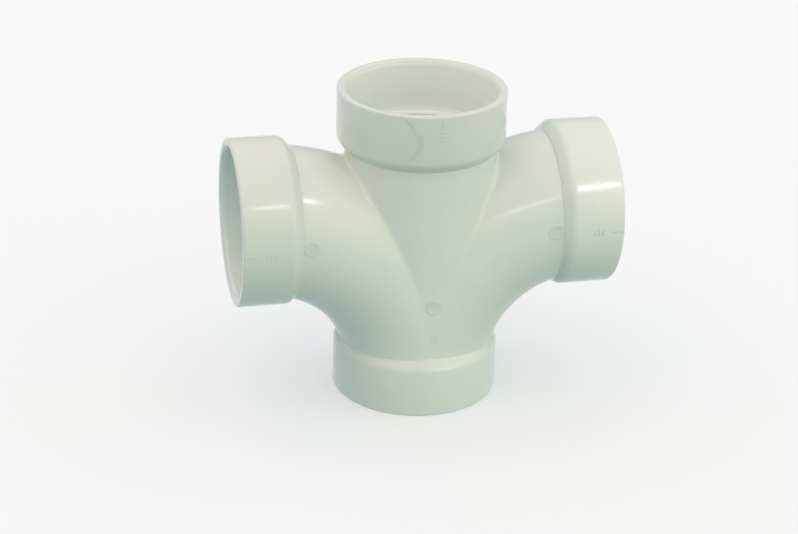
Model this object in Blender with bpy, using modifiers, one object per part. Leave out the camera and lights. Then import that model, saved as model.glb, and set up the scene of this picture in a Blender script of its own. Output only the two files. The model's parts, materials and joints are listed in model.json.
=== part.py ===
"""A double sanitary tee (sanitary cross) for 2-inch solvent-weld drain pipe.

The real fitting is one injection moulding with four sockets.  It is modelled here as the
seven regions that the moulding is made up of: the straight run barrel, the two swept
branches that fall into it, and the four hubs.  Lengths are in metres.  The origin is the
centre of the bottom rim, +Z goes up the run and +X along the branches.
"""

import math

import bmesh
import bpy
from mathutils import Matrix, Vector

# Hubs and sockets
HUB_RADIUS = 0.03429
HUB_LENGTH = 0.0247  # rim to neck
SHOULDER_LENGTH = 0.0037  # the cone between the hub and the neck
SOCKET_MOUTH_RADIUS = 0.03035
SOCKET_BASE_RADIUS = 0.03009
SOCKET_DEPTH = 0.0206
RIM_ROUND = 0.0006  # on the outer edge of each rim
LEAD_IN = 0.0008  # on the inner edge of each rim

# Body
BODY_RADIUS = 0.0310
BORE_RADIUS = 0.02625
BRANCH_HEIGHT = 0.0778  # bottom rim to the axis of the branches
RUN_HEIGHT = 0.1318  # bottom rim to top rim
BRANCH_REACH = 0.0778  # run axis to a branch's rim
SWEEP_RADIUS = 0.0655  # of the centreline of each swept branch

# Modelling
GAP = 0.0003  # between touching regions
SIDES = 48
SWEEP_STEPS = 17
SEAM_STEPS = 14
SWEEP_OVERRUN = math.radians(6)  # what the sweeps' blanks run past their quarter turn
TONGUE_HALF_WIDTH = 0.0015  # where the barrel's pointed tongues stop
BLANK_BORE_RADIUS = BORE_RADIUS - 0.001  # of a hub whose bore is cut by the sweeps
CUTTER_REACH = 0.05  # half the depth of the cutters, from front to back

PVC_COLOUR = (0.66, 0.68, 0.63, 1.0)
PVC_ROUGHNESS = 0.25

BOTTOM_NECK = HUB_LENGTH
TOP_NECK = RUN_HEIGHT - HUB_LENGTH
BRANCH_NECK = BRANCH_REACH - HUB_LENGTH
SWEEP_CENTRE_HEIGHT = BRANCH_HEIGHT - SWEEP_RADIUS


def clear_scene():
    for obj in list(bpy.data.objects):
        bpy.data.objects.remove(obj, do_unlink=True)


def new_collection(name):
    collection = bpy.data.collections.new(name)
    bpy.context.scene.collection.children.link(collection)
    return collection


def pvc(name):
    """Pale, slightly green drain-pipe PVC with a moulded gloss."""
    material = bpy.data.materials.new(name)
    material.use_nodes = True
    shader = material.node_tree.nodes["Principled BSDF"]
    shader.inputs["Base Color"].default_value = PVC_COLOUR
    shader.inputs["Roughness"].default_value = PVC_ROUGHNESS
    shader.inputs["Metallic"].default_value = 0.0
    material.diffuse_color = PVC_COLOUR
    return material


def add_part(name, mesh):
    obj = bpy.data.objects.new(name, mesh)
    parts.objects.link(obj)
    obj.data.materials.append(pvc(name + "_pvc"))
    return obj


def add_cutter(name, mesh):
    obj = bpy.data.objects.new(name, mesh)
    cutters.objects.link(obj)
    obj.hide_render = True
    obj.display_type = "WIRE"
    return obj


def mesh_from(name, shape):
    """The mesh of a bmesh, with its normals facing out."""
    bmesh.ops.recalc_face_normals(shape, faces=shape.faces)
    mesh = bpy.data.meshes.new(name)
    shape.to_mesh(mesh)
    shape.free()
    return mesh


def shade_round(obj):
    obj.data.shade_smooth()
    obj.data.set_sharp_from_angle(angle=math.radians(25))


def boolean(obj, cutter, operation):
    modifier = obj.modifiers.new(operation.title(), "BOOLEAN")
    modifier.operation = operation
    modifier.solver = "EXACT"
    modifier.object = cutter


def seam_offset(height):
    """Half the width of the run barrel's tongue at this height.

    A sweep and a run of the same radius cross on a parabola, whatever that radius is, so
    one parabolic wall divides both their outer surfaces and their bores.
    """
    return (height - SWEEP_CENTRE_HEIGHT) ** 2 / (4 * SWEEP_RADIUS)


def tongue_tip_height():
    return SWEEP_CENTRE_HEIGHT + math.sqrt(4 * SWEEP_RADIUS * TONGUE_HALF_WIDTH)


def seam_points(top, offset):
    """Points (x, z) up the right-hand seam, moved sideways by offset."""
    bottom = tongue_tip_height()
    heights = [bottom + (top - bottom) * step / SEAM_STEPS for step in range(SEAM_STEPS + 1)]
    return [(seam_offset(height) + offset, height) for height in heights]


def outline_cutter(name, outline):
    """A closed outline in the plane of the branches, made as deep as the fitting and more."""
    curve = bpy.data.curves.new(name, "CURVE")
    curve.dimensions = "2D"
    curve.fill_mode = "BOTH"
    curve.extrude = CUTTER_REACH
    spline = curve.splines.new("POLY")
    spline.points.add(len(outline) - 1)
    for point, (x, z) in zip(spline.points, outline):
        point.co = (x, z, 0, 1)
    spline.use_cyclic_u = True
    flat = bpy.data.objects.new(name + "_outline", curve)
    cutters.objects.link(flat)
    flat.rotation_euler.x = math.radians(90)
    bpy.context.view_layer.update()
    mesh = bpy.data.meshes.new_from_object(flat.evaluated_get(bpy.context.evaluated_depsgraph_get()))
    shape = bmesh.new()
    shape.from_mesh(mesh)
    bpy.data.meshes.remove(mesh)
    bmesh.ops.remove_doubles(shape, verts=shape.verts, dist=1e-6)
    cutter = add_cutter(name, mesh_from(name, shape))
    cutter.matrix_world = flat.matrix_world.copy()
    bpy.data.objects.remove(flat)
    return cutter


def swept_tube_mesh(name, radius, side):
    """A solid quarter bend from the run to the branch on this side (1 right, -1 left)."""
    centre = Vector((side * SWEEP_RADIUS, 0, SWEEP_CENTRE_HEIGHT))
    turn = math.radians(90) + 2 * SWEEP_OVERRUN
    shape = bmesh.new()
    bmesh.ops.create_circle(shape, cap_ends=False, segments=SIDES, radius=radius)
    bmesh.ops.translate(shape, verts=shape.verts, vec=(0, 0, SWEEP_CENTRE_HEIGHT))
    start = Matrix.Rotation(-side * SWEEP_OVERRUN, 3, "Y")
    bmesh.ops.rotate(shape, verts=shape.verts, cent=centre, matrix=start)
    bmesh.ops.spin(
        shape,
        geom=list(shape.verts) + list(shape.edges),
        cent=centre,
        axis=(0, 1, 0),
        angle=side * turn,
        steps=SWEEP_STEPS,
        use_merge=False,
    )
    bmesh.ops.holes_fill(shape, edges=[edge for edge in shape.edges if edge.is_boundary])
    return mesh_from(name, shape)


def cylinder_mesh(name, radius, bottom, top):
    shape = bmesh.new()
    place = Matrix.Translation((0, 0, (bottom + top) / 2))
    bmesh.ops.create_cone(
        shape,
        cap_ends=True,
        segments=SIDES,
        radius1=radius,
        radius2=radius,
        depth=top - bottom,
        matrix=place,
    )
    return mesh_from(name, shape)


def hub_mesh(name, bore_radius):
    """Half the section of a hub, its neck at z = 0 and its rim up, to be turned about Z."""
    socket_floor = HUB_LENGTH - SOCKET_DEPTH
    profile = [
        (HUB_RADIUS - RIM_ROUND, HUB_LENGTH),
        (HUB_RADIUS, HUB_LENGTH - RIM_ROUND),
        (HUB_RADIUS, SHOULDER_LENGTH),
        (BODY_RADIUS, 0),
        (bore_radius, 0),
        (bore_radius, socket_floor),
        (SOCKET_BASE_RADIUS, socket_floor),
        (SOCKET_MOUTH_RADIUS, HUB_LENGTH - LEAD_IN),
        (SOCKET_MOUTH_RADIUS + LEAD_IN, HUB_LENGTH),
    ]
    shape = bmesh.new()
    corners = [shape.verts.new((radius, 0, height)) for radius, height in profile]
    for corner, following in zip(corners, corners[1:] + corners[:1]):
        shape.edges.new((corner, following))
    mesh = bpy.data.meshes.new(name)
    shape.to_mesh(mesh)
    shape.free()
    return mesh


def make_hub(name, neck, direction, bores=()):
    """A hub on this neck, with its passage cut by the sweeps that open into it."""
    hub = add_part(name, hub_mesh(name, BLANK_BORE_RADIUS if bores else BORE_RADIUS))
    turning = hub.modifiers.new("Turned section", "SCREW")
    turning.axis = "Z"
    turning.steps = SIDES
    turning.render_steps = SIDES
    turning.use_merge_vertices = True
    turning.merge_threshold = 1e-5
    for bore in bores:
        boolean(hub, bore, "DIFFERENCE")
    hub.location = neck
    hub.rotation_euler = Vector((0, 0, 1)).rotation_difference(Vector(direction)).to_euler()
    return hub


def make_run_barrel(run_bore):
    """The straight barrel: a ring under the top hub with a tongue down its front and back."""
    barrel = add_part("run_barrel", cylinder_mesh("run_barrel", BODY_RADIUS, BOTTOM_NECK, TOP_NECK - GAP))
    right = seam_points(TOP_NECK + GAP, -GAP / 2)
    left = [(-x, z) for x, z in reversed(right)]
    boolean(barrel, outline_cutter("barrel_zone", right + left), "INTERSECT")
    boolean(barrel, run_bore, "DIFFERENCE")
    shade_round(barrel)
    return barrel


def make_sweep(name, side, bore):
    """A swept branch, cut where it meets the barrel, the other sweep and its hub."""
    sweep = add_part(name, swept_tube_mesh(name, BODY_RADIUS, side))
    above = BRANCH_HEIGHT + HUB_RADIUS
    under_tongue = tongue_tip_height() - GAP
    edge = BRANCH_NECK - GAP
    outline = [(GAP / 2, BOTTOM_NECK + GAP), (GAP / 2, under_tongue)]
    outline.append((TONGUE_HALF_WIDTH + GAP / 2, under_tongue))
    outline += seam_points(above, GAP / 2)
    outline += [(edge, above), (edge, BOTTOM_NECK + GAP)]
    zone = outline_cutter(name + "_zone", [(side * x, z) for x, z in outline])
    boolean(sweep, zone, "INTERSECT")
    boolean(sweep, bore, "DIFFERENCE")
    shade_round(sweep)
    return sweep


clear_scene()
parts = new_collection("double_sanitary_tee")
cutters = new_collection("cutters")

run_bore = add_cutter("run_bore", cylinder_mesh("run_bore", BORE_RADIUS, 0, RUN_HEIGHT))
left_bore = add_cutter("left_bore", swept_tube_mesh("left_bore", BORE_RADIUS, -1))
right_bore = add_cutter("right_bore", swept_tube_mesh("right_bore", BORE_RADIUS, 1))

make_run_barrel(run_bore)
make_sweep("left_sweep", -1, left_bore)
make_sweep("right_sweep", 1, right_bore)
make_hub("top_hub", (0, 0, TOP_NECK), (0, 0, 1))
make_hub("bottom_hub", (0, 0, BOTTOM_NECK), (0, 0, -1), bores=(left_bore, right_bore))
make_hub("left_hub", (-BRANCH_NECK, 0, BRANCH_HEIGHT), (-1, 0, 0), bores=(left_bore,))
make_hub("right_hub", (BRANCH_NECK, 0, BRANCH_HEIGHT), (1, 0, 0), bores=(right_bore,))
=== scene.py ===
"""A double sanitary tee in pale moulded PVC, standing on its bottom socket.

The four hubs are turned rings with rounded rims.  The body between them is one skin: the
straight run and the two sweeps flow into each other with a small moulded fillet.  The faint
marks that the mould leaves are raised pieces of their own.
"""

import json
import math

import bpy
import numpy as np
from mathutils import Matrix, Vector

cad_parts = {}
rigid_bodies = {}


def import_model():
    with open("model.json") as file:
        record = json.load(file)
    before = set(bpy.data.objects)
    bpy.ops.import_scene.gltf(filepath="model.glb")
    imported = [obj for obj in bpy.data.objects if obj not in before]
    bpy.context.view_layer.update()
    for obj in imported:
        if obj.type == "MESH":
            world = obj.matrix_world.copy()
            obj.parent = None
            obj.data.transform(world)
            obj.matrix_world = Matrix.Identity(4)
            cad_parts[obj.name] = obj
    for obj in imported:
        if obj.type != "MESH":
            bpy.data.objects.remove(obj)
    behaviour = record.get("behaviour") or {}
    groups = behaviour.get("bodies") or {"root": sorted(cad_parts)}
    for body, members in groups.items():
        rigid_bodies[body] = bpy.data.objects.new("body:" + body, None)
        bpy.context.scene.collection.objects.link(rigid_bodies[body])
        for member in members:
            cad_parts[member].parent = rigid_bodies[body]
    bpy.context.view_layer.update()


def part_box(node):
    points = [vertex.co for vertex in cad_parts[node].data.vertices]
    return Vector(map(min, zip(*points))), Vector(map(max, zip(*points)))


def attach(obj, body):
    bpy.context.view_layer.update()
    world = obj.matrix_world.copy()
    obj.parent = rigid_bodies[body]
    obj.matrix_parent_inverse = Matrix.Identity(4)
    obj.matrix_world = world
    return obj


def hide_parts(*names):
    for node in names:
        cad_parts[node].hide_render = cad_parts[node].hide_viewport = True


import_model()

# Sizes that the frame gives, in metres.  Z is measured from the bottom rim.
TOP_HUB_LOW, TOP_HUB_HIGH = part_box("top_hub")
RIGHT_HUB_LOW, RIGHT_HUB_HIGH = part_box("right_hub")
_, BARREL_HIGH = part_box("run_barrel")
HUB_RADIUS = TOP_HUB_HIGH.x
HUB_LENGTH = TOP_HUB_HIGH.z - TOP_HUB_LOW.z
BODY_RADIUS = BARREL_HIGH.x
RUN_TOP = TOP_HUB_HIGH.z
REACH = RIGHT_HUB_HIGH.x
NECK_REACH = REACH - HUB_LENGTH
BRANCH_HEIGHT = (RIGHT_HUB_LOW.z + RIGHT_HUB_HIGH.z) / 2

# Sizes inside the moulding
WALL = 0.00475  # of the body
BORE_RADIUS = BODY_RADIUS - WALL
SWEEP_RADIUS = 0.0655  # of each sweep's centreline
SWEEP_CENTRE_HEIGHT = BRANCH_HEIGHT - SWEEP_RADIUS
SHOULDER_LENGTH = 0.0037
SHOULDER_EASE = 0.0016  # how far either side of it the shoulder's edge is rounded
SOCKET_MOUTH_RADIUS = 0.03035
SOCKET_BASE_RADIUS = 0.03009
SOCKET_DEPTH = 0.0206
LEDGE = HUB_LENGTH - SOCKET_DEPTH  # neck to stop ledge
LEAD_IN = 0.0010  # chamfer inside each mouth
LEAD_IN_LENGTH = 0.0014
LEDGE_CHAMFER = 0.0012
EDGE_ROUNDING = 0.0009  # of a hub's other edges
HUB_SIDES = 144

# The body's skin
FILLET = 0.0011  # how wide the crease between a sweep and the run is blended
TOP_FILLET = 0.0030  # and under the top hub, at the front and the back
FILLET_OPENS = (0.0880, 0.1040)  # the heights between which it widens
FILLET_SIDES = (0.0090, 0.0200)  # and how far from the middle plane it does so
SKIN = 0.0007  # edge length of the skin's faces
PIPE_SIDES = 128
SWEEP_STEPS = 24
OVERRUN = 0.003  # how far a pipe runs on past where it is cut off

# How a hub's ring and the body lie in one another, out of sight
NECK_SINK = 0.0004  # the shoulder's foot is this far inside the body's skin
NECK_OVERLAP = 0.00045  # and this far past the neck
RING_SINK = 0.0030  # the ring's hidden inner wall is this far inside it
HAIR = 0.0001  # a hair's breadth that keeps two faces from lying in one plane

# The mould's marks
MARK_HEIGHT = 0.00016  # how far a mark stands out of the wall around it
MARK_ROOT = 0.0006  # how far it reaches into the wall
MARK_SOFTENING = 0.00007
TICK_WIDTH = 0.0005
TICK_LENGTH = 0.0046
TICK_INSET = 0.0006  # from the rim
BAR_WIDTH = 0.0032  # of the middle bar
BAR_TAPER = 0.0006  # how much shorter the two outer bars are
BAR_LENGTH = 0.0005
BAR_SPACING = 0.0017
PAD_RADIUS = 0.0033
PAD_BORDERS = (0.10, 0.10, 0.12, 0.10, 0.2)  # rings of faces on a pad, as shares of its radius
PAD_RIM = 0.63  # the share of the radius outside which a pad stands at its full height
PAD_MIDDLE = MARK_HEIGHT / 4  # how far its sunk middle stands out
PAD_SOFTENING = 0.00005


# ---------------------------------------------------------------- modelling helpers

def deselect_all():
    for obj in bpy.data.objects:
        obj.select_set(False)


def only(obj):
    """Selects one object alone and makes it the active one."""
    deselect_all()
    obj.select_set(True)
    bpy.context.view_layer.objects.active = obj
    return obj


def newest(name):
    """Names the object that an operator has just added."""
    obj = bpy.context.active_object
    obj.name = name
    obj.data.name = name
    return obj


def settle(obj):
    """Puts an object's place and turn into its mesh."""
    only(obj)
    bpy.ops.object.transform_apply(location=True, rotation=True, scale=True)
    return obj


def apply_all(obj):
    """Applies an object's modifiers, in their order."""
    only(obj)
    for modifier in list(obj.modifiers):
        bpy.ops.object.modifier_apply(modifier=modifier.name)
    return obj


def combine(obj, other, operation):
    """A Boolean with another object, which is then removed."""
    modifier = obj.modifiers.new(operation, "BOOLEAN")
    modifier.operation = operation
    modifier.solver = "EXACT"
    modifier.object = other
    apply_all(obj)
    bpy.data.objects.remove(other)
    return obj


# ---------------------------------------------------------------- the hubs

def eased_corner(before, corner, after, setback):
    """The turn that a softly rounded corner of a section makes, as a few points."""
    before, corner, after = (Vector(point) for point in (before, corner, after))
    start = corner + (before - corner).normalized() * setback
    end = corner + (after - corner).normalized() * setback
    return [
        tuple(start.lerp(corner, share).lerp(corner.lerp(end, share), share))
        for share in (0, 0.25, 0.5, 0.75, 1)
    ]


def hub_profile():
    """Radius and height of each turn of a hub's section, from the rim's outer edge inwards."""
    rim = (HUB_RADIUS, HUB_LENGTH)
    neck = (BODY_RADIUS - NECK_SINK, -NECK_OVERLAP)
    return [
        rim,
        *eased_corner(rim, (HUB_RADIUS, SHOULDER_LENGTH), neck, SHOULDER_EASE),
        neck,
        (BODY_RADIUS - RING_SINK, -NECK_OVERLAP),
        (BODY_RADIUS - RING_SINK, LEDGE - HAIR),
        (SOCKET_BASE_RADIUS, LEDGE - HAIR),
        (SOCKET_MOUTH_RADIUS, HUB_LENGTH - LEAD_IN_LENGTH),
        (SOCKET_MOUTH_RADIUS + LEAD_IN, HUB_LENGTH),
    ]


def turned_ring(name, profile, sides):
    """A ring turned from a circle that is drawn out loop by loop along the profile."""
    deselect_all()
    radius, height = profile[0]
    bpy.ops.mesh.primitive_circle_add(vertices=sides, radius=radius, location=(0, 0, height))
    ring = settle(newest(name))
    bpy.ops.object.mode_set(mode="EDIT")
    bpy.ops.mesh.select_all(action="SELECT")
    for following, next_height in profile[1:] + profile[:1]:
        bpy.ops.mesh.extrude_edges_move(
            TRANSFORM_OT_translate={"value": (0, 0, next_height - height)})
        share = following / radius
        bpy.ops.transform.resize(value=(share, share, 1), center_override=(0, 0, 0))
        radius, height = following, next_height
    bpy.ops.mesh.select_all(action="SELECT")
    bpy.ops.mesh.remove_doubles(threshold=1e-6)
    bpy.ops.mesh.normals_make_consistent(inside=False)
    bpy.ops.object.mode_set(mode="OBJECT")
    return ring


def stand(obj, place, direction):
    """Moves a piece that was made upright to where it belongs, and turns it to face a direction."""
    obj.location = place
    obj.rotation_euler = Vector((0, 0, 1)).rotation_difference(Vector(direction)).to_euler()
    return settle(obj)


def make_hub(name, neck, direction):
    """One socket with its shoulder, from the neck to the rim."""
    hub = turned_ring(name + "_moulding", hub_profile(), HUB_SIDES)
    edges = hub.modifiers.new("Moulded edges", "BEVEL")
    edges.width = EDGE_ROUNDING
    edges.segments = 5
    edges.limit_method = "ANGLE"
    edges.angle_limit = math.radians(25)
    apply_all(hub)
    bpy.ops.object.shade_smooth_by_angle(angle=math.radians(40))
    stand(hub, neck, direction)
    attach(hub, "root")
    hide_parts(name)
    return hub


# ---------------------------------------------------------------- the body

def straight_tube(name, radius, bottom, top):
    """A solid upright pipe on the run's axis."""
    deselect_all()
    bpy.ops.mesh.primitive_cylinder_add(
        vertices=PIPE_SIDES, radius=radius, depth=top - bottom, location=(0, 0, (top + bottom) / 2))
    return settle(newest(name))


def swept_tube(name, radius, side):
    """A solid quarter bend, spun from a circle at the foot of the run."""
    deselect_all()
    bpy.ops.mesh.primitive_circle_add(
        vertices=PIPE_SIDES, radius=radius, fill_type="NGON", location=(0, 0, SWEEP_CENTRE_HEIGHT))
    tube = settle(newest(name))
    bpy.ops.object.mode_set(mode="EDIT")
    bpy.ops.mesh.select_all(action="SELECT")
    bpy.ops.mesh.spin(
        steps=SWEEP_STEPS,
        angle=-side * math.radians(90),
        center=(side * SWEEP_RADIUS, 0, SWEEP_CENTRE_HEIGHT),
        axis=(0, 1, 0))
    bpy.ops.mesh.select_all(action="SELECT")
    bpy.ops.mesh.normals_make_consistent(inside=False)
    bpy.ops.object.mode_set(mode="OBJECT")
    return tube


def three_way(name, radius):
    """The run and both sweeps of one radius, joined into one solid."""
    top = RUN_TOP - SOCKET_DEPTH + OVERRUN
    solid = straight_tube(name, radius, SWEEP_CENTRE_HEIGHT, top)
    for side in (-1, 1):
        combine(solid, swept_tube("sweep", radius, side), "UNION")
    return solid


def to_run(points, radius):
    """Distance from each point to the run's skin, and the way that it faces there."""
    x, y, _ = points.T
    across = np.hypot(x, y)
    return across - radius, np.stack([x, y, 0 * x]) / across


def to_sweep(points, radius, side):
    """The same for a sweep, on the left (-1) or on the right (1)."""
    x, y, z = points.T
    x, z = x - side * SWEEP_RADIUS, z - SWEEP_CENTRE_HEIGHT
    bend = np.hypot(x, z)
    outwards = bend - SWEEP_RADIUS
    across = np.hypot(outwards, y)
    return across - radius, np.stack([outwards * x / bend, y, outwards * z / bend]) / across


def smooth_share(values, low, high):
    """0 below low and 1 above high, with a smooth step between them."""
    share = np.clip((values - low) / (high - low), 0, 1)
    return share ** 2 * (3 - 2 * share)


def fillet_at(points):
    """The crease is crisp in the V and at the sides, and opens out toward the top hub."""
    opened = smooth_share(points[:, 2], *FILLET_OPENS)
    opened = opened * smooth_share(np.abs(points[:, 1]), *FILLET_SIDES)
    return FILLET + (TOP_FILLET - FILLET) * opened


def blended(first, second, fillet):
    """The smaller of two distances, rounded over one width however the two skins meet."""
    (near, facing), (other, other_facing) = first, second
    reach = fillet * np.linalg.norm(facing - other_facing, axis=0) + 1e-7
    overlap = np.maximum(reach - np.abs(near - other), 0) / reach
    return np.minimum(near, other) - overlap ** 2 * reach / 4


def skin_distance(points, radius):
    """Distance from each point to the skin that the run and both sweeps share."""
    run = to_run(points, radius)
    left, right = (to_sweep(points, radius, side) for side in (-1, 1))
    pairs = ((run, left), (run, right), (left, right))
    fillet = fillet_at(points)
    return np.min([blended(first, second, fillet) for first, second in pairs], axis=0)


def settle_on_skin(obj, radius):
    """Moves every vertex onto the blended skin of the three pipes."""
    mesh = obj.data
    points = np.empty(len(mesh.vertices) * 3)
    mesh.vertices.foreach_get("co", points)
    points = points.reshape(-1, 3)
    step = 1e-6
    for _ in range(4):
        here = skin_distance(points, radius)
        ahead = [skin_distance(points + step * axis, radius) for axis in np.eye(3)]
        slope = np.stack([(there - here) / step for there in ahead], axis=1)
        points -= slope * (here / np.maximum((slope ** 2).sum(1), 0.2))[:, None]
    mesh.vertices.foreach_set("co", points.ravel())
    mesh.update()


def cut_flat(obj, point, normal):
    """Cuts off what lies beyond a plane and closes the cut."""
    only(obj)
    bpy.ops.object.mode_set(mode="EDIT")
    bpy.ops.mesh.select_all(action="SELECT")
    bpy.ops.mesh.bisect(plane_co=point, plane_no=normal, use_fill=True, clear_outer=True)
    bpy.ops.object.mode_set(mode="OBJECT")


def chamfer_cutter(ledge, facing):
    """A cone that opens out of the bore at a stop ledge."""
    facing = Vector(facing)
    depth = 2 * LEDGE_CHAMFER
    foot = BORE_RADIUS - HAIR
    deselect_all()
    bpy.ops.mesh.primitive_cone_add(
        vertices=PIPE_SIDES, radius1=foot, radius2=foot + depth, depth=depth,
        location=Vector(ledge) + facing * (depth / 2 - LEDGE_CHAMFER - HAIR),
        rotation=facing.to_track_quat("Z", "Y").to_euler())
    return settle(newest("chamfer"))


def make_body():
    """The barrel and both sweeps as one skin, cut off at the four stop ledges and bored through."""
    body = three_way("drain_body", BODY_RADIUS)
    skin = body.modifiers.new("Even skin", "REMESH")
    skin.mode = "VOXEL"
    skin.voxel_size = SKIN
    apply_all(body)
    settle_on_skin(body, BODY_RADIUS)
    reach = REACH - SOCKET_DEPTH
    ends = [
        ((0, 0, RUN_TOP - SOCKET_DEPTH), (0, 0, 1)),
        ((0, 0, SOCKET_DEPTH), (0, 0, -1)),
        ((reach, 0, BRANCH_HEIGHT), (1, 0, 0)),
        ((-reach, 0, BRANCH_HEIGHT), (-1, 0, 0)),
    ]
    for point, normal in ends:
        cut_flat(body, point, normal)
    passage = three_way("passage", BORE_RADIUS)
    for point, normal in ends:
        combine(passage, chamfer_cutter(point, normal), "UNION")
    combine(body, passage, "DIFFERENCE")
    only(body)
    bpy.ops.object.shade_smooth_by_angle(angle=math.radians(35))
    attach(body, "root")
    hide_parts("run_barrel", "left_sweep", "right_sweep")
    return body


# ---------------------------------------------------------------- the mould's marks

def raised_block(width, length, front, across, along):
    """A small block sunk in the front of an upright wall, at a height along it."""
    deselect_all()
    bpy.ops.mesh.primitive_cube_add(size=1)
    block = newest("block")
    block.dimensions = (width, MARK_HEIGHT + MARK_ROOT, length)
    block.location = (across, -front - (MARK_HEIGHT - MARK_ROOT) / 2, along)
    return settle(block)


def soften(obj, width):
    """Rounds a mark's edges a little."""
    edges = obj.modifiers.new("Soft edges", "BEVEL")
    edges.width = width
    edges.segments = 2
    edges.limit_method = "ANGLE"
    edges.angle_limit = math.radians(40)
    apply_all(obj)
    bpy.ops.object.shade_smooth_by_angle(angle=math.radians(50))
    return obj


def make_hub_marks(hub_name, neck, direction, turn, bars_at):
    """The insertion tick at a hub's rim, and three bars below it."""
    tick_at = HUB_LENGTH - TICK_INSET - TICK_LENGTH / 2
    marks = raised_block(TICK_WIDTH, TICK_LENGTH, HUB_RADIUS, 0, tick_at)
    marks.name = marks.data.name = hub_name + "_marks"
    bars = []
    for step in (-1, 0, 1):
        width = BAR_WIDTH - abs(step) * BAR_TAPER
        bars.append(raised_block(width, BAR_LENGTH, HUB_RADIUS, 0, bars_at + step * BAR_SPACING))
    only(marks)
    for bar in bars:
        bar.select_set(True)
    bpy.ops.object.join()
    soften(marks, MARK_SOFTENING)
    marks.rotation_euler.z = turn
    settle(marks)
    stand(marks, neck, direction)
    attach(marks, "root")
    return marks


def make_pad(name, x, z, radius, sides):
    """A low pad with a sunk middle, laid on the front of the pipes."""
    deselect_all()
    bpy.ops.mesh.primitive_cylinder_add(
        vertices=sides, radius=radius, depth=2 * MARK_ROOT, location=(x, -BODY_RADIUS, z),
        rotation=(math.radians(90), 0, 0))
    pad = newest(name)
    pad.rotation_euler.rotate_axis("Z", math.pi / sides)
    settle(pad)
    bpy.ops.object.mode_set(mode="EDIT")
    bpy.ops.mesh.select_all(action="DESELECT")
    bpy.ops.object.mode_set(mode="OBJECT")
    for face in pad.data.polygons:
        face.select = face.normal.y < -0.9
    bpy.ops.object.mode_set(mode="EDIT")
    for border in PAD_BORDERS:
        bpy.ops.mesh.inset(thickness=border * radius, depth=0)
    bpy.ops.object.mode_set(mode="OBJECT")
    points = np.empty(len(pad.data.vertices) * 3)
    pad.data.vertices.foreach_get("co", points)
    points = points.reshape(-1, 3)
    front = points[:, 1] < -BODY_RADIUS
    raised = np.hypot(points[:, 0] - x, points[:, 2] - z) > PAD_RIM * radius
    heights = np.where(front, np.where(raised, MARK_HEIGHT, PAD_MIDDLE), -MARK_ROOT)
    settle_on_skin(pad, BODY_RADIUS + heights)
    soften(pad, PAD_SOFTENING)
    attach(pad, "root")
    return pad


# ---------------------------------------------------------------- materials

class Wire:
    """A value on its way through a material, which adds and multiplies as a number does."""

    def __init__(self, finish, socket):
        self.finish = finish
        self.socket = socket

    def maths(self, operation, *values):
        return self.finish.node("ShaderNodeMath", {"operation": operation}, values)

    def __add__(self, other):
        return self.maths("ADD", self, other)

    def __sub__(self, other):
        return self.maths("SUBTRACT", self, other)

    def __rsub__(self, other):
        return self.maths("SUBTRACT", other, self)

    def __mul__(self, other):
        return self.maths("MULTIPLY", self, other)

    def __pow__(self, other):
        return self.maths("POWER", self, other)

    __radd__ = __add__
    __rmul__ = __mul__

    def ramp(self, low, high):
        """0 below low and 1 above high, with a smooth step between them."""
        settings = {"interpolation_type": "SMOOTHSTEP"}
        return self.finish.node("ShaderNodeMapRange", settings, (self, low, high, 0.0, 1.0))


class Nodes:
    """The nodes of a material or of the studio's light, added one call at a time."""

    def __init__(self, owner):
        owner.use_nodes = True
        self.nodes = owner.node_tree.nodes
        self.links = owner.node_tree.links

    def node(self, kind, settings=None, values=(), output=0):
        """Adds a node, with its settings first and then what its sockets hold or are fed by."""
        node = self.nodes.new(kind)
        for setting, value in (settings or {}).items():
            setattr(node, setting, value)
        items = values.items() if isinstance(values, dict) else enumerate(values)
        for socket, value in items:
            self.feed(node.inputs[socket], value)
        return Wire(self, node.outputs[output])

    def feed(self, socket, value):
        if isinstance(value, Wire):
            self.links.new(value.socket, socket)
        else:
            socket.default_value = value


class Finish(Nodes):
    """One material, whose patterns lie on the piece's own coordinates."""

    def __init__(self, name):
        self.material = bpy.data.materials.new(name)
        super().__init__(self.material)
        self.shader = self.nodes["Principled BSDF"]
        self.place = self.node("ShaderNodeTexCoord", output="Object")

    def set(self, **values):
        """Feeds the shader's sockets by name: base_color=..., roughness=..."""
        for socket, value in values.items():
            self.feed(self.shader.inputs[socket.replace("_", " ").title()], value)

    def noise(self, scale, detail=2.0):
        return self.node(
            "ShaderNodeTexNoise", None, {"Vector": self.place, "Scale": scale, "Detail": detail})

    def blend(self, share, first, second):
        settings = {"data_type": "RGBA"}
        return self.node(
            "ShaderNodeMix", settings, {"Factor": share, 6: first, 7: second}, output=2)

    def bump(self, height, distance, under=None):
        values = {"Height": height, "Distance": distance}
        if under:
            values["Normal"] = under
        return self.node("ShaderNodeBump", None, values)


# Colours of the plastic, linear
PVC_WARM = (0.715, 0.722, 0.662, 1)
PVC_COOL = (0.685, 0.712, 0.662, 1)
PVC_INSIDE_PAINTED_LIGHT = (0.828, 0.855, 0.808, 1)  # painted light: the socket and bore walls are made lighter, in place of the light that comes through the thin wall and bounces between the walls
PVC_FLOW = (0.56, 0.60, 0.545, 1)
PVC_DIRT = (0.40, 0.41, 0.36, 1)
# The flow line: angles are in radians about the run, measured from the front, and heights in metres
FLOW_ANGLE = -0.246  # at its bulge
FLOW_HEIGHT = BRANCH_HEIGHT + 0.0435  # of its bulge
FLOW_CURVE = 2000  # how fast it bends back above and below that
FLOW_WANDER = 0.16
FLOW_HALF_WIDTH = (0.004, 0.050)  # full strength within the first, gone past the second
FLOW_KNOT = 0.0072  # height above the bulge of the spot where it is darkest


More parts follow.
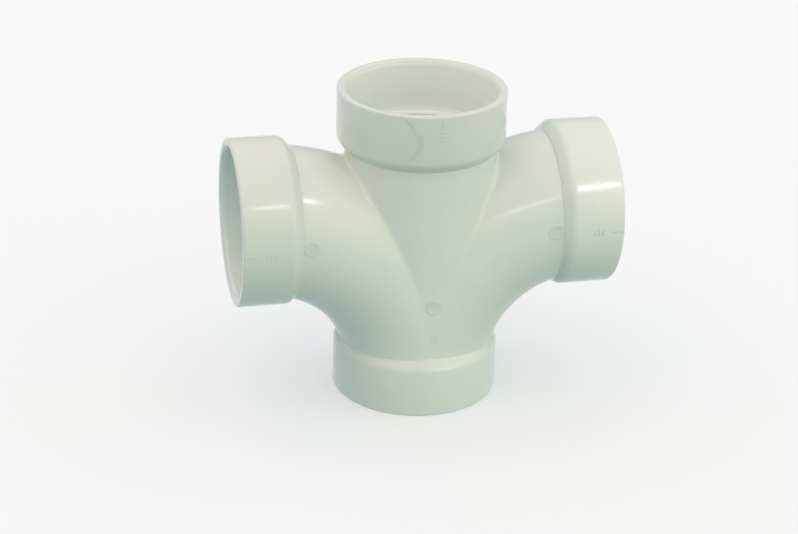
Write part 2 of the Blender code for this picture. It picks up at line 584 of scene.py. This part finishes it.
def flow_line(finish, x, y, z):
    """Share of the darker line that the melt left down the front of the top hub."""
    height = z - FLOW_HEIGHT
    wander = (finish.noise(170, 3.0) - 0.5) * FLOW_WANDER
    path = FLOW_ANGLE - height * height * FLOW_CURVE + wander
    off = x.maths("ABSOLUTE", x.maths("ARCTAN2", x, y * -1) - path)
    across = 1 - off.ramp(*FLOW_HALF_WIDTH)
    neck = RUN_TOP - HUB_LENGTH
    on_hub = z.ramp(neck + 0.004, neck + 0.007)
    outside = x.maths("SQRT", x * x + y * y).ramp(SOCKET_MOUTH_RADIUS + 0.002, HUB_RADIUS - 0.001)
    knot = 1 - x.maths("ABSOLUTE", height - FLOW_KNOT).ramp(0.0003, 0.0018)
    return across * on_hub * outside * (finish.noise(240) * 0.75 + knot * 0.45)


def inside_painted_light_share(finish, x, y, z):
    """1 on the socket and bore walls, 0 on the outside: where the sockets get their painted light."""
    level = z - BRANCH_HEIGHT
    upright = x.maths("SQRT", x * x + y * y)
    lying = x.maths("SQRT", level * level + y * y)
    wall = (SOCKET_MOUTH_RADIUS, SOCKET_MOUTH_RADIUS + 0.0006)
    in_run = 1 - upright.ramp(*wall)
    in_branch = 1 - lying.ramp(*wall)
    past_neck = x.maths("ABSOLUTE", x).ramp(NECK_REACH + 0.0002, NECK_REACH + 0.0012)
    return x.maths("MAXIMUM", in_run, in_branch * past_neck)


def moulded_pvc():
    """Pale glossy PVC: clouded, lightly scuffed, with a wavy moulded skin, and with painted light
    that makes the socket and bore walls lighter.
    """
    finish = Finish("pale_pvc")
    split = finish.node("ShaderNodeSeparateXYZ", None, (finish.place,)).socket.node
    x, y, z = (Wire(finish, split.outputs[axis]) for axis in "XYZ")
    clouds = finish.noise(42, 3.0).ramp(0.35, 0.65)
    grain = finish.noise(700, 3.0)
    specks = finish.noise(330, 0.0).ramp(0.85, 0.90)
    scuffs = finish.noise(95, 5.0).ramp(0.56, 0.72)
    colour = finish.blend(clouds, PVC_COOL, PVC_WARM)
    # painted light: the sockets and bore are painted lighter, standing in for the light that reaches
    # inside them
    colour = finish.blend(inside_painted_light_share(finish, x, y, z), colour, PVC_INSIDE_PAINTED_LIGHT)
    colour = finish.blend(flow_line(finish, x, y, z), colour, PVC_FLOW)
    colour = finish.blend(specks * 0.25 + (grain - 0.5) * 0.06, colour, PVC_DIRT)
    skin = finish.bump(finish.noise(38, 1.0), 0.00012)
    finish.set(
        base_color=colour,
        roughness=0.14 + scuffs * 0.10 + grain * 0.06,
        normal=finish.bump(grain, 0.000004, skin))
    finish.shader.inputs["IOR"].default_value = 1.53
    return finish.material


def pale_floor():
    finish = Finish("pale_floor")
    finish.set(base_color=finish.blend(finish.noise(6), FLOOR_DARK, FLOOR_LIGHT), roughness=1.0)
    finish.shader.inputs["Specular IOR Level"].default_value = 0
    finish.shader.inputs["Emission Color"].default_value = (1, 1, 1, 1)
    finish.shader.inputs["Emission Strength"].default_value = FLOOR_GLOW
    return finish.material


def paint(obj, material):
    obj.data.materials.clear()
    obj.data.materials.append(material)


# ---------------------------------------------------------------- floor, lights and camera

CENTRE = Vector((0, 0, BRANCH_HEIGHT))  # what the camera and the lamps point at
FLOOR_SIZE = 6
BACKDROP_RADIUS = 4
BACKDROP_GLOW = 0.93
FLOOR_DARK = (0.605, 0.620, 0.625, 1)
FLOOR_LIGHT = (0.615, 0.630, 0.635, 1)
FLOOR_GLOW = 0.32  # the floor is a light table, so the shadow on it is faint


def make_floor():
    deselect_all()
    bpy.ops.mesh.primitive_plane_add(size=FLOOR_SIZE, location=(0, 0, 0))
    floor = newest("floor")
    paint(floor, pale_floor())
    floor.visible_diffuse = False
    floor.visible_shadow = False


def softbox(name, place, size, power, colour, lit):
    """A small lamp, flagged off from all but the pieces it is there to put a highlight on."""
    light = bpy.data.lights.new(name, "AREA")
    light.shape = "RECTANGLE"
    light.size, light.size_y = size
    light.energy = power
    light.color = colour
    obj = bpy.data.objects.new(name, light)
    bpy.context.scene.collection.objects.link(obj)
    obj.location = place
    obj.rotation_euler = (CENTRE - Vector(place)).to_track_quat("-Z", "Y").to_euler()
    obj.light_linking.receiver_collection = bpy.data.collections.new(name + "_lights")
    for piece in lit:
        obj.light_linking.receiver_collection.objects.link(piece)


def toward(azimuth, elevation):
    """A direction from the fitting.  Azimuth 0 is its front and 90 its right."""
    turn, rise = math.radians(azimuth), math.radians(elevation)
    return Vector((math.sin(turn) * math.cos(rise), -math.cos(turn) * math.cos(rise), math.sin(rise)))


def around(azimuth, elevation, distance):
    return tuple(CENTRE + distance * toward(azimuth, elevation))


CAMERA_AZIMUTH = -13.30
CAMERA_ELEVATION = 25.31
CAMERA_ROLL = math.radians(1.60)
CAMERA_DISTANCE = 0.8805
CAMERA_RIGHT = -0.0080  # how far it stands to the right of the line to the centre
CAMERA_UP = -0.02345
CAMERA_LENS = 96.74  # millimetres, on a sensor 36 wide


def make_camera():
    """A long lens a little to the left and about 25 degrees above the branches."""
    back = toward(CAMERA_AZIMUTH, CAMERA_ELEVATION)
    level = (-back).cross(Vector((0, 0, 1))).normalized()
    above = level.cross(-back)
    right = level * math.cos(CAMERA_ROLL) + above * math.sin(CAMERA_ROLL)
    up = above * math.cos(CAMERA_ROLL) - level * math.sin(CAMERA_ROLL)
    camera = bpy.data.objects.new("camera", bpy.data.cameras.new("camera"))
    bpy.context.scene.collection.objects.link(camera)
    camera.data.sensor_width = 36
    camera.data.lens = CAMERA_LENS
    camera.matrix_world = Matrix((right, up, back)).transposed().to_4x4()
    camera.location = CENTRE + back * CAMERA_DISTANCE + right * CAMERA_RIGHT + up * CAMERA_UP
    bpy.context.scene.camera = camera


TENT_COLOUR = (0.145, 0.333, 0.369)
# Azimuth, elevation, tightness and colour of each soft glow in the tent
GLOWS = [
    (0, 90, 1, (0.430, 0.200, 0.225)),
    (40, 8, 5, (1.103, 0.806, 0.433)),
    (-25, 35, 4, (0.415, 0.515, 0.375)),
    (-80, 35, 4, (0.740, 0.390, 0.325)),
    (85, 35, 4, (0.590, 0.670, 0.770)),
    (-140, 35, 4, (0.471, 0.578, 0.668)),
    (150, 35, 4, (0.446, 0.295, 0.108)),
]


def make_tent():
    """A dim cloth tent all round, with soft glows where its lights stand behind the cloth."""
    world = bpy.data.worlds.new("studio")
    bpy.context.scene.world = world
    tent = Nodes(world)
    way = tent.node("ShaderNodeTexCoord", output="Generated")
    light = TENT_COLOUR
    for azimuth, elevation, tightness, colour in GLOWS:
        facing = tent.node(
            "ShaderNodeVectorMath", {"operation": "DOT_PRODUCT"},
            (way, toward(azimuth, elevation)), output="Value")
        glow = tent.node(
            "ShaderNodeVectorMath", {"operation": "SCALE"},
            {"Vector": colour, "Scale": facing.maths("MAXIMUM", facing, 0.0) ** tightness})
        light = tent.node("ShaderNodeVectorMath", {"operation": "ADD"}, (glow, light))
    tent.feed(tent.nodes["Background"].inputs["Color"], light)


def make_backdrop():
    """The pale wall that is seen over the floor.  It is only looked at, and lights nothing."""
    deselect_all()
    bpy.ops.mesh.primitive_uv_sphere_add(segments=64, ring_count=32, radius=BACKDROP_RADIUS)
    backdrop = newest("backdrop")
    wall = Nodes(bpy.data.materials.new("pale_wall"))
    paint(backdrop, bpy.data.materials["pale_wall"])
    shader = wall.nodes["Principled BSDF"]
    shader.inputs["Base Color"].default_value = (0, 0, 0, 1)
    shader.inputs["Specular IOR Level"].default_value = 0
    shader.inputs["Emission Color"].default_value = (1, 1, 1, 1)
    shader.inputs["Emission Strength"].default_value = BACKDROP_GLOW
    backdrop.visible_diffuse = False
    backdrop.visible_glossy = False
    backdrop.visible_transmission = False
    backdrop.visible_shadow = False


pvc = moulded_pvc()
# Each hub's neck, the way it faces, the turn of its marks about its axis, and its bars' height.
HUBS = {
    "top_hub": ((0, 0, RUN_TOP - HUB_LENGTH), (0, 0, 1), math.radians(0.7), 0.0166),
    "bottom_hub": ((0, 0, HUB_LENGTH), (0, 0, -1), None, None),
    "left_hub": ((-NECK_REACH, 0, BRANCH_HEIGHT), (-1, 0, 0), 0.0, 0.0138),
    "right_hub": ((NECK_REACH, 0, BRANCH_HEIGHT), (1, 0, 0), 0.0, 0.0138),
}
hubs = {}
for hub_name, (place, direction, turn, bars_at) in HUBS.items():
    hubs[hub_name] = make_hub(hub_name, place, direction)
    paint(hubs[hub_name], pvc)
    if bars_at:
        paint(make_hub_marks(hub_name, place, direction, turn, bars_at), pvc)
body = make_body()
paint(body, pvc)
# Each pad's place to the right of the run's axis and above the branches' axis, its radius and sides
PADS = {
    "left_pad": (-0.0500, 0, PAD_RADIUS, 48),
    "right_pad": (0.0500, 0, PAD_RADIUS, 48),
    "lower_pad": (0, -0.0298, PAD_RADIUS, 48),
    "square_mark": (0.0007, -0.0440, 0.0021, 4),
}
for pad_name, (x, level, radius, sides) in PADS.items():
    paint(make_pad(pad_name, x, BRANCH_HEIGHT + level, radius, sides), pvc)

make_floor()
make_camera()
make_tent()
make_backdrop()
softbox("lamp", (0.46, -1.0, 0.900), (0.40, 0.085), 2.3, (1, 1, 0.97), [hubs["right_hub"]])
softbox("high_lamp", around(30, 48, 1.3), (0.03, 0.10), 0.7, (1, 1, 0.98), [body])
softbox("upper_line", (0.12, -1.0, 0.93), (0.3, 0.035), 0.6, (0.9, 1, 0.98), [hubs["left_hub"]])
softbox("lower_line", (-0.05, -1.0, 0.69), (0.5, 0.03), 0.5, (0.9, 1, 0.98), [body])
softbox("foot_lamp", around(28, 14, 1.2), (0.5, 0.4), 1.2, (0.95, 1, 0.93), [hubs["bottom_hub"]])
bpy.context.scene.view_settings.view_transform = "Standard"
